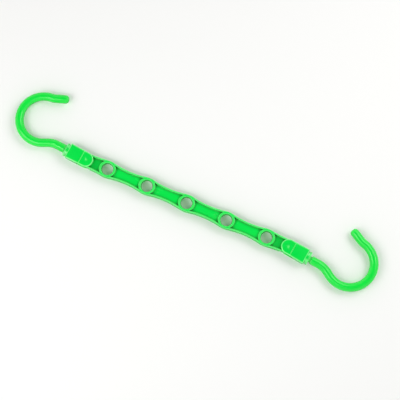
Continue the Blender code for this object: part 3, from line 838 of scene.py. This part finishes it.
def hook_stations():
    """(x, y, radius) of the rod at each point, from the head to the tip."""
    head_start = -NECK_LENGTH - HEAD_LENGTH
    stations = [
        (head_start, 0, HEAD_RADIUS - HEAD_EDGE), (head_start + HEAD_EDGE, 0, HEAD_RADIUS),
        (-NECK_LENGTH - HEAD_EDGE, 0, HEAD_RADIUS), (-NECK_LENGTH, 0, HEAD_RADIUS - HEAD_EDGE),
        (-NECK_LENGTH + HAIR, 0, NECK_RADIUS), (-HAIR, 0, NECK_RADIUS),
    ]
    shoulder = rounded_edge(SHOULDER_EDGE, SHOULDER_EDGE, steps=6)
    stations += [(SHOULDER_EDGE - height, 0, ROD_RADIUS - inset) for height, inset in shoulder[::-1]]
    x, y, heading = 0.0, 0.0, 0.0
    for length, turn, radius in HOOK_RUNS:
        steps = max(1, round(abs(turn) / TURN_STEP))
        share = math.radians(turn) / steps
        chord = length or 2 * radius * math.sin(abs(share) / 2)
        for _ in range(steps):
            x += chord * math.cos(heading + share / 2)
            y += chord * math.sin(heading + share / 2)
            heading += share
            stations.append((x, y, ROD_RADIUS))
    for reach, inset in rounded_edge(TIP_EDGE, TIP_EDGE, steps=10)[1:]:
        stations.append((x + reach * math.cos(heading), y + reach * math.sin(heading), ROD_RADIUS - inset))
    return stations


def hook_curve():
    """The hook's path as a curve with a radius at each point."""
    stations = hook_stations()
    curve = bpy.data.curves.new("hook_path", "CURVE")
    curve.dimensions = "3D"
    spline = curve.splines.new("POLY")
    spline.points.add(len(stations) - 1)
    for point, (x, y, radius) in zip(spline.points, stations):
        point.co = (x, y, 0, 1)
        point.radius = radius
    return curve


print("hook path", len(hook_stations()), "points")

# %% Sweep of a hook
HOOK_INPUTS = {  # the mould line's height and half width are shares of the rod's radius
    "Path": ("Geometry", None), "Points Round": ("Int", 96), "Line Height": ("Float", 0.012),
    "Plastic": ("Material", None),
}
LINE_HALF_WIDTH = 0.02
hook_tree, sizes = start_tree("swept_hook", HOOK_INPUTS, ("Hook", "Geometry"))
level_path = add(hook_tree, "GeometryNodeSetCurveNormal", {"Curve": sizes["Path"]}, mode="Z_UP")
circle = add(hook_tree, "GeometryNodeCurvePrimitiveCircle", {
    "Resolution": sizes["Points Round"], "Radius": 1.0,
})
point = add(hook_tree, "GeometryNodeInputPosition")
across = add(hook_tree, "ShaderNodeSeparateXYZ", {"Vector": point})
values = calculate(hook_tree, (
    ("off", "ABSOLUTE", "Y", 0), ("near", "LESS_THAN", "off", LINE_HALF_WIDTH),
    ("line", "MULTIPLY", "near", "Line Height"), ("stretch", "ADD", "line", 1),
), {"Y": across.outputs["Y"], "Line Height": sizes["Line Height"]})
ridged = add(hook_tree, "ShaderNodeVectorMath", {0: point, "Scale": values["stretch"]}, operation="SCALE")
round_section = add(hook_tree, "GeometryNodeSetPosition", {"Geometry": circle, "Position": ridged})
rod = add(hook_tree, "GeometryNodeCurveToMesh", {
    "Curve": level_path, "Profile Curve": round_section, "Scale": add(hook_tree, "GeometryNodeInputRadius"),
    "Fill Caps": True,
})
real_rod = add(hook_tree, "GeometryNodeRealizeInstances", {"Geometry": rod})
add(hook_tree, "NodeGroupOutput", {
    0: add(hook_tree, "GeometryNodeSetMaterial", {"Geometry": real_rod, "Material": sizes["Plastic"]}),
})
for side, end in ENDS.items():
    hook_frame = (
        end["frame"] @ Matrix.Translation((SHOULDER + end["pulled_out"], 0, 0))
        @ Matrix.Rotation(end["swivel"], 4, "X")
    )
    hook = grown(f"{side}_round_hook", hook_curve(), hook_tree, {
        "Plastic": hook_polypropylene,
    }, place=hook_frame)
    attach(hook, f"{side}_hook")
    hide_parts(f"{side}_hook")

# %% [markdown]
# ## The table and the light
#
# The hanger lies on a white table between two softboxes, front left and back right, so a soft shadow falls
# to both sides of it. A long narrow light in front draws a pale line along the round rods. The room is
# light near the horizon and darker overhead, which keeps flat tops deep green while the round sides pick up
# pale reflections. Together the lights are just strong enough for white to come out white.

# %% Floor, softboxes and world
TABLE_HALF = 6.0  # metres, so wide that its edge shows in no view
TABLE_THICKNESS = 10 * MM
table_corners = [
    (-TABLE_HALF, -TABLE_HALF), (TABLE_HALF, -TABLE_HALF),
    (TABLE_HALF, TABLE_HALF), (-TABLE_HALF, TABLE_HALF),
]
floor_mesh = skinned([[(*corner, height) for corner in table_corners] for height in (-TABLE_THICKNESS, 0.0)])
floor = bpy.data.objects.new("table", floor_mesh)
bpy.context.collection.objects.link(floor)
paper = bpy.data.materials.new("white_matt_laminate")
paper.use_nodes = True
paper.node_tree.nodes.clear()
matt = add(paper.node_tree, "ShaderNodeBsdfDiffuse", {"Color": linear("#FBFBF9")})
add(paper.node_tree, "ShaderNodeOutputMaterial", {"Surface": matt})
floor_mesh.materials.append(paper)

SOFTBOXES = (  # name, place, width and length in metres, power in watts
    ("left", (-0.39, -0.43, 0.64), 0.4, 0.6, 2.4), ("right", (0.39, 0.43, 0.64), 0.4, 0.6, 2.4),
    ("strip", (0.0, -0.42, 0.85), 0.07, 0.8, 0.9),
)
for name, spot, width, length, power in SOFTBOXES:
    lamp = bpy.data.objects.new(f"{name}_softbox", bpy.data.lights.new(f"{name}_softbox", "AREA"))
    lamp.data.shape = "RECTANGLE"
    lamp.data.size = length
    lamp.data.size_y = width
    lamp.data.energy = power
    lamp.location = spot
    lamp.rotation_euler = (-Vector(spot)).to_track_quat("-Z", "Y").to_euler()
    bpy.context.collection.objects.link(lamp)

SKY_FADE = (0.62, 0.9)  # how far up the room is at its lightest, and at its darkest
SKY_STRENGTH = (0.84, 0.06)
world = bpy.data.worlds.new("room")
bpy.context.scene.world = world
world.use_nodes = True
world.node_tree.nodes.clear()
direction = add(world.node_tree, "ShaderNodeSeparateXYZ", {
    "Vector": add(world.node_tree, "ShaderNodeTexCoord").outputs["Generated"],
})
overhead = add(world.node_tree, "ShaderNodeMapRange", {
    "Value": direction.outputs["Z"], "From Min": SKY_FADE[0], "From Max": SKY_FADE[1],
    "To Min": SKY_STRENGTH[0], "To Max": SKY_STRENGTH[1],
}, interpolation_type="SMOOTHSTEP")
sky = add(world.node_tree, "ShaderNodeBackground", {"Color": (1, 1, 1, 1), "Strength": overhead})
add(world.node_tree, "ShaderNodeOutputWorld", {"Surface": sky})
bpy.context.scene.view_settings.view_transform = "Standard"
